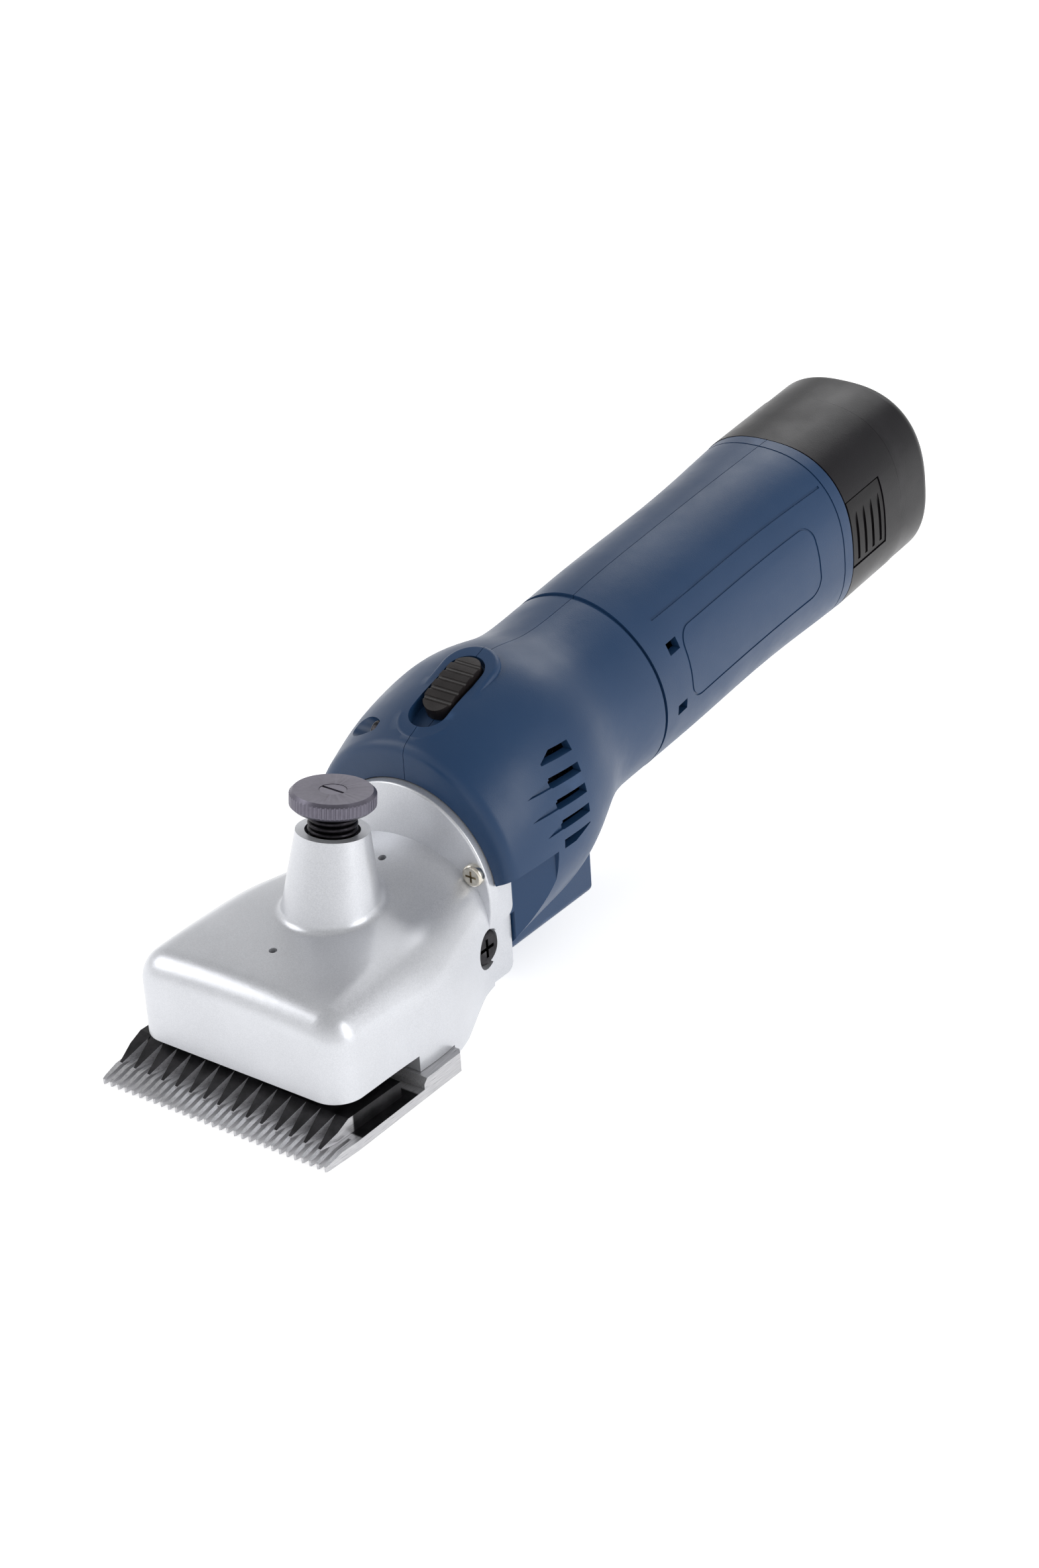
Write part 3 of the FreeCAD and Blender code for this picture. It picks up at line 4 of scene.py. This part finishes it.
import bpy
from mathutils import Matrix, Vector

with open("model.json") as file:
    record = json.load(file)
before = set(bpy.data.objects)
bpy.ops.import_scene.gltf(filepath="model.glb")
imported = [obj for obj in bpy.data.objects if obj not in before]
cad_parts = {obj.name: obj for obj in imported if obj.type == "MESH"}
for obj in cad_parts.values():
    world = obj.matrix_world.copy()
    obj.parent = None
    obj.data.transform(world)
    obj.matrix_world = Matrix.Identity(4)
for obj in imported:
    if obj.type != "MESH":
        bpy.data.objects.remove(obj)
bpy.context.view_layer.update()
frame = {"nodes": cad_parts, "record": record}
nodes = frame["nodes"]

# --- named values, metres unless a name says otherwise ------------------------------
CAMERA_PLACE = (0.53186, -0.57875, 0.50659)
CAMERA_TURN = (1.064008, 0.059143, 0.641721)
CAMERA_LENS_MM = 82.53
FLOOR_REACH = 4.0
FLOOR_LEVEL = -0.0003
FLOOR_GLOW = 0.55
SKY_LOW = 0.95
SKY_HIGH = 0.42
SKY_LOW_TO_HIGH = (0.1, 0.9)
LIGHT_TARGET = (0.0, 0.1, 0.04)
WELD_DISTANCE = 0.000002
CRISP_ANGLE_DEG = 24.0
# places along Y on the comb and the cutter where their darkened surface starts or ends: blueing on the
# cutter, painted shade together with blueing on the comb
COMB_DARK_FRONT = -0.0325
COMB_DARK_REAR = -0.0100
CUTTER_BLUE_FRONT = -0.0314
STEP_HALF_WIDTH = 0.0003


# --- material helpers --------------------------------------------------------------
def srgb(r, g, b):
    """Linear colour from display values of 0 to 255."""
    def linear(value):
        v = value / 255
        return v / 12.92 if v <= 0.04045 else ((v + 0.055) / 1.055) ** 2.4
    return (linear(r), linear(g), linear(b), 1.0)


class Nodes:
    """Short calls for building one material's node tree."""

    def __init__(self, name):
        self.material = bpy.data.materials.new(name)
        self.material.use_nodes = True
        self.tree = self.material.node_tree
        self.tree.nodes.clear()
        self.output = self.tree.nodes.new("ShaderNodeOutputMaterial")
        self.shader = self.tree.nodes.new("ShaderNodeBsdfPrincipled")
        self.tree.links.new(self.shader.outputs[0], self.output.inputs["Surface"])
        self.coords = self.tree.nodes.new("ShaderNodeTexCoord")

    def link(self, source, target):
        self.tree.links.new(source, target)

    def new(self, kind, **values):
        node = self.tree.nodes.new(kind)
        for key, value in values.items():
            setattr(node, key, value)
        return node

    def scaled(self, x, y=None, z=None):
        """Object coordinates times a scale per axis."""
        mapping = self.new("ShaderNodeMapping")
        mapping.inputs["Scale"].default_value = (x, x if y is None else y, x if z is None else z)
        self.link(self.coords.outputs["Object"], mapping.inputs["Vector"])
        return mapping.outputs["Vector"]

    def noise(self, scale, detail=3.0, vector=None, roughness=0.5):
        node = self.new("ShaderNodeTexNoise")
        node.inputs["Scale"].default_value = scale
        node.inputs["Detail"].default_value = detail
        node.inputs["Roughness"].default_value = roughness
        self.link(vector or self.coords.outputs["Object"], node.inputs["Vector"])
        return node.outputs["Fac"]

    def spots(self, scale, vector=None):
        node = self.new("ShaderNodeTexVoronoi")
        node.inputs["Scale"].default_value = scale
        self.link(vector or self.coords.outputs["Object"], node.inputs["Vector"])
        return node

    def spread(self, value, low, high, to_low=0.0, to_high=1.0):
        node = self.new("ShaderNodeMapRange")
        node.inputs["From Min"].default_value = low
        node.inputs["From Max"].default_value = high
        node.inputs["To Min"].default_value = to_low
        node.inputs["To Max"].default_value = to_high
        self.link(value, node.inputs["Value"])
        return node.outputs["Result"]

    def math(self, operation, a, b):
        node = self.new("ShaderNodeMath", operation=operation)
        for socket, value in zip(node.inputs, (a, b)):
            if isinstance(value, (int, float)):
                socket.default_value = value
            else:
                self.link(value, socket)
        return node.outputs["Value"]

    def mix(self, factor, a, b):
        node = self.new("ShaderNodeMix", data_type="RGBA")
        for name, value in (("Factor", factor), ("A", a), ("B", b)):
            socket = [s for s in node.inputs if s.name == name and s.enabled][0]
            if isinstance(value, (tuple, float, int)):
                socket.default_value = value
            else:
                self.link(value, socket)
        return [s for s in node.outputs if s.enabled][0]

    def part(self, source, axis):
        node = self.new("ShaderNodeSeparateXYZ")
        self.link(source, node.inputs[0])
        return node.outputs[axis]

    def edges(self, low=0.51, high=0.58):
        """1 on sharp outer edges, 0 on flat and hollow places."""
        return self.spread(self.new("ShaderNodeNewGeometry").outputs["Pointiness"], low, high)

    def bump(self, height, strength, distance):
        node = self.new("ShaderNodeBump")
        node.inputs["Strength"].default_value = strength
        node.inputs["Distance"].default_value = distance
        self.link(height, node.inputs["Height"])
        self.link(node.outputs["Normal"], self.shader.inputs["Normal"])

    def set(self, **values):
        for key, value in values.items():
            socket = self.shader.inputs[key.replace("_", " ")]
            if isinstance(value, (tuple, float, int)):
                socket.default_value = value
            else:
                self.link(value, socket)
        return self.material


def moulded(name, colour, light, roughness, specular=0.5):
    """Moulded plastic: slight colour drift, fine spark-eroded grain and rubbed edges."""
    n = Nodes(name)
    drift = n.noise(22, 2)
    base = n.mix(n.spread(drift, 0.3, 0.75), colour, light)
    rubbed = n.math("MULTIPLY", n.edges(0.55, 0.65), n.spread(n.noise(160, 5), 0.45, 0.7, 0.0, 0.4))
    worn = tuple(min(1.0, c * 1.9 + 0.02) for c in light[:3]) + (1.0,)
    base = n.mix(rubbed, base, worn)
    rough = n.spread(n.noise(90, 6), 0.3, 0.75, roughness - 0.05, roughness + 0.06)
    n.bump(n.noise(2600, 2), 0.35, 0.00006)
    return n.set(Base_Color=base, Roughness=rough, Specular_IOR_Level=specular)


def metal(name, dark, light, roughness, scale=900, metallic=1.0):
    """Worked metal: fine mottling, uneven polish and brighter edges."""
    n = Nodes(name)
    vector = n.scaled(1.0)
    streaks = n.noise(scale, 6, vector, 0.6)
    base = n.mix(n.spread(streaks, 0.3, 0.7), dark, light)
    bright = tuple(min(1.0, c * 1.35 + 0.05) for c in light[:3]) + (1.0,)
    base = n.mix(n.math("MULTIPLY", n.edges(), 0.6), base, bright)
    rough = n.spread(n.noise(scale * 0.3, 4, vector), 0.3, 0.7, roughness - 0.06, roughness + 0.08)
    n.bump(streaks, 0.2, 0.00004)
    return n.set(Base_Color=base, Roughness=rough, Metallic=metallic)


# --- the materials -----------------------------------------------------------------
def silver_paint():
    """Die-cast head: silver lacquer with metal flakes over a faint casting skin."""
    n = Nodes("silver_lacquer")
    flakes = n.spots(5200)
    sparkle = n.part(flakes.outputs["Color"], "X")
    tone = n.mix(n.spread(n.noise(30, 4), 0.35, 0.7), srgb(190, 192, 197), srgb(201, 203, 208))
    base = n.mix(n.math("MULTIPLY", sparkle, 0.3), tone, srgb(235, 236, 240))
    rough = n.spread(sparkle, 0.0, 1.0, 0.28, 0.42)
    skin = n.math("ADD", n.noise(240, 3), n.math("MULTIPLY", n.noise(2600, 2), 0.25))
    n.bump(skin, 0.12, 0.00012)
    return n.set(Base_Color=base, Roughness=rough, Metallic=0.62, Coat_Weight=0.25, Coat_Roughness=0.18)


def step(n, value, place, low=0.0, high=1.0):
    """Crisp change from one level to another where value passes place."""
    return n.spread(value, place - STEP_HALF_WIDTH, place + STEP_HALF_WIDTH, low, high)


def blade_steel(name, dark_mask):
    """Blade steel: dark where the mask says so (blueing, and on the comb also painted shade), ground
    bright elsewhere.
    """
    n = Nodes(name)
    along = n.part(n.coords.outputs["Object"], "Y")
    rise = n.part(n.coords.outputs["Normal"], "Z")
    dark_mask = dark_mask(n, along, rise)
    lines = n.noise(1500, 5, n.scaled(3.0, 0.12, 3.0), 0.6)
    bright = n.mix(n.spread(lines, 0.3, 0.7), srgb(164, 164, 168), srgb(204, 204, 206))
    dark = n.mix(n.spread(n.noise(300, 5), 0.35, 0.7), srgb(22, 22, 24), srgb(44, 43, 46))
    # dark steel goes where the mask is set: blueing, and painted shade on the comb's flat top
    base = n.mix(dark_mask, bright, dark)
    rough = n.spread(lines, 0.3, 0.7, 0.26, 0.4)
    n.bump(lines, 0.12, 0.00003)
    return n.set(Base_Color=base, Roughness=rough, Metallic=0.7)


def comb_shade_and_blueing(n, along, rise):
    """Painted shade with blueing: the flat, up-facing top behind the teeth is darkened, fading to bare
    metal on the rear shoulder.
    """
    # painted shade: the comb's up-facing flat top is darkened, together with its blueing
    flat = n.spread(rise, 0.92, 0.98)
    band = n.math("MULTIPLY", step(n, along, COMB_DARK_FRONT), step(n, along, COMB_DARK_REAR, 1.0, 0.1))
    return n.math("MULTIPLY", flat, band)


def cutter_blueing(n, along, rise):
    """Everything but the gullets ground between the teeth."""
    return n.math("MAXIMUM", n.spread(rise, 0.78, 0.84), step(n, along, CUTTER_BLUE_FRONT))


def build_materials():
    return {
        # the comb steel carries painted shade on its flat top, together with blueing
        "comb": blade_steel("comb_steel", comb_shade_and_blueing),
        "cutter": blade_steel("cutter_steel", cutter_blueing),
        "head": silver_paint(),
        "housing": moulded("housing_blue", srgb(26, 54, 87), srgb(29, 58, 92), 0.38, specular=0.36),
        "battery": moulded("battery_black", srgb(14, 13, 17), srgb(19, 17, 22), 0.34, specular=0.26),
        "latch": moulded("latch_black", srgb(14, 13, 15), srgb(20, 18, 21), 0.38, specular=0.2),
        "switch": moulded("switch_black", srgb(24, 20, 20), srgb(32, 27, 27), 0.36, specular=0.36),
        "inner": moulded("inner_black", srgb(34, 32, 34), srgb(44, 43, 45), 0.5),
        "knob": metal("knob_dark", srgb(72, 69, 79), srgb(92, 89, 101), 0.34, scale=700, metallic=0.85),
        "black_steel": metal("black_oxide", srgb(26, 25, 28), srgb(46, 44, 48), 0.36),
        "nickel": metal("nickel_plate", srgb(190, 184, 172), srgb(222, 216, 204), 0.16),
        "steel": metal("turned_steel", srgb(150, 151, 155), srgb(186, 187, 191), 0.28),
        "brass": metal("brass", srgb(170, 132, 66), srgb(205, 168, 96), 0.28),
        "copper": metal("copper", srgb(168, 92, 52), srgb(206, 128, 82), 0.3),
        "zinc": metal("zinc_plate", srgb(150, 152, 156), srgb(186, 188, 192), 0.3),
        "magnet": metal("sintered", srgb(58, 58, 62), srgb(76, 76, 80), 0.55, metallic=0.4),
        "nylon": moulded("natural_nylon", srgb(206, 200, 184), srgb(220, 214, 200), 0.4),
        "board": moulded("solder_mask", srgb(18, 84, 44), srgb(26, 102, 56), 0.3),
        "wrap": moulded("shrink_wrap", srgb(52, 108, 132), srgb(66, 124, 148), 0.28),
        "lead_red": moulded("lead_red", srgb(150, 30, 26), srgb(170, 40, 34), 0.4),
        "lead_black": moulded("lead_black", srgb(24, 24, 25), srgb(34, 34, 35), 0.4),
    }


FINISH = {
    "comb_steel": "comb", "cutter_steel": "cutter", "plain_steel": "steel", "bearing_steel": "steel",
    "black_steel": "black_steel", "nickel_plate": "nickel", "head_alloy": "head", "mount_alloy": "zinc",
    "knob_dark": "knob", "gear_nylon": "nylon", "inner_black": "inner", "brass": "brass",
    "motor_steel": "zinc", "magnet": "magnet", "lamination": "magnet", "copper": "copper",
    "carbon": "inner", "housing_blue": "housing", "switch_black": "switch", "board_green": "board",
    "board_parts": "inner", "battery_black": "battery", "latch_black": "latch", "cell_wrap": "wrap",
    "lead_red": "lead_red", "lead_black": "lead_black",
}


def shade_softly(node):
    """Smooth shading across shallow angles, with real edges kept crisp."""
    node.data.polygons.foreach_set("use_smooth", [True] * len(node.data.polygons))
    weld = node.modifiers.new("weld", "WELD")
    weld.merge_threshold = WELD_DISTANCE
    split = node.modifiers.new("edges", "EDGE_SPLIT")
    split.split_angle = math.radians(CRISP_ANGLE_DEG)


def dress_nodes(materials):
    slot_of = {entry["node"]: entry["material_slot"] for entry in frame["record"]["subparts"]}
    for name, node in nodes.items():
        finish = materials[FINISH[slot_of[name]]]
        node.data.materials.clear()
        node.data.materials.append(finish)
        shade_softly(node)


# --- camera, floor and light -------------------------------------------------------
def make_camera():
    data = bpy.data.cameras.new("camera")
    data.sensor_width = 36.0
    data.lens = CAMERA_LENS_MM
    data.clip_start = 0.01
    data.clip_end = 50.0
    camera = bpy.data.objects.new("camera", data)
    bpy.context.scene.collection.objects.link(camera)
    camera.location = CAMERA_PLACE
    camera.rotation_mode = "XYZ"
    camera.rotation_euler = CAMERA_TURN
    bpy.context.scene.camera = camera


def make_floor():
    mesh = bpy.data.meshes.new("floor")
    around = ((-1, -1), (1, -1), (1, 1), (-1, 1))
    corners = [(x * FLOOR_REACH, y * FLOOR_REACH, FLOOR_LEVEL) for x, y in around]
    mesh.from_pydata(corners, [], [(0, 1, 2, 3)])
    floor = bpy.data.objects.new("floor", mesh)
    bpy.context.scene.collection.objects.link(floor)
    n = Nodes("pale_floor")
    tone = n.mix(n.spread(n.noise(3, 3), 0.3, 0.7), srgb(244, 244, 244), srgb(248, 248, 248))
    mesh.materials.append(n.set(Base_Color=tone, Roughness=0.85, Specular_IOR_Level=0.1,
                                Emission_Color=(1.0, 1.0, 1.0, 1.0), Emission_Strength=FLOOR_GLOW))


def area_light(name, place, size, power):
    data = bpy.data.lights.new(name, "AREA")
    data.shape = "RECTANGLE"
    data.size, data.size_y = size
    data.energy = power
    light = bpy.data.objects.new(name, data)
    bpy.context.scene.collection.objects.link(light)
    light.location = place
    light.rotation_mode = "QUATERNION"
    light.rotation_quaternion = (Vector(LIGHT_TARGET) - Vector(place)).to_track_quat("-Z", "Y")


def make_lights():
    """A surround that is bright at table height and darker overhead, and three soft panels."""
    world = bpy.data.worlds.new("studio")
    bpy.context.scene.world = world
    world.use_nodes = True
    tree = world.node_tree
    background = tree.nodes["Background"]
    coords = tree.nodes.new("ShaderNodeTexCoord")
    split = tree.nodes.new("ShaderNodeSeparateXYZ")
    ramp = tree.nodes.new("ShaderNodeMapRange")
    ramp.interpolation_type = "SMOOTHSTEP"
    ramp.inputs["From Min"].default_value, ramp.inputs["From Max"].default_value = SKY_LOW_TO_HIGH
    ramp.inputs["To Min"].default_value = SKY_LOW
    ramp.inputs["To Max"].default_value = SKY_HIGH
    tree.links.new(coords.outputs["Generated"], split.inputs[0])
    tree.links.new(split.outputs["Z"], ramp.inputs["Value"])
    tree.links.new(ramp.outputs["Result"], background.inputs["Strength"])
    background.inputs["Color"].default_value = (1.0, 1.0, 1.0, 1.0)
    area_light("left", (-0.9, -0.5, 0.8), (0.7, 0.7), 4.5)
    area_light("right", (1.1, 0.2, 0.5), (0.5, 0.8), 5.0)
    area_light("back", (-0.3, 1.2, 0.9), (0.9, 0.5), 4.0)


make_camera()
make_floor()
make_lights()
dress_nodes(build_materials())
bpy.context.scene.view_settings.view_transform = "Standard"
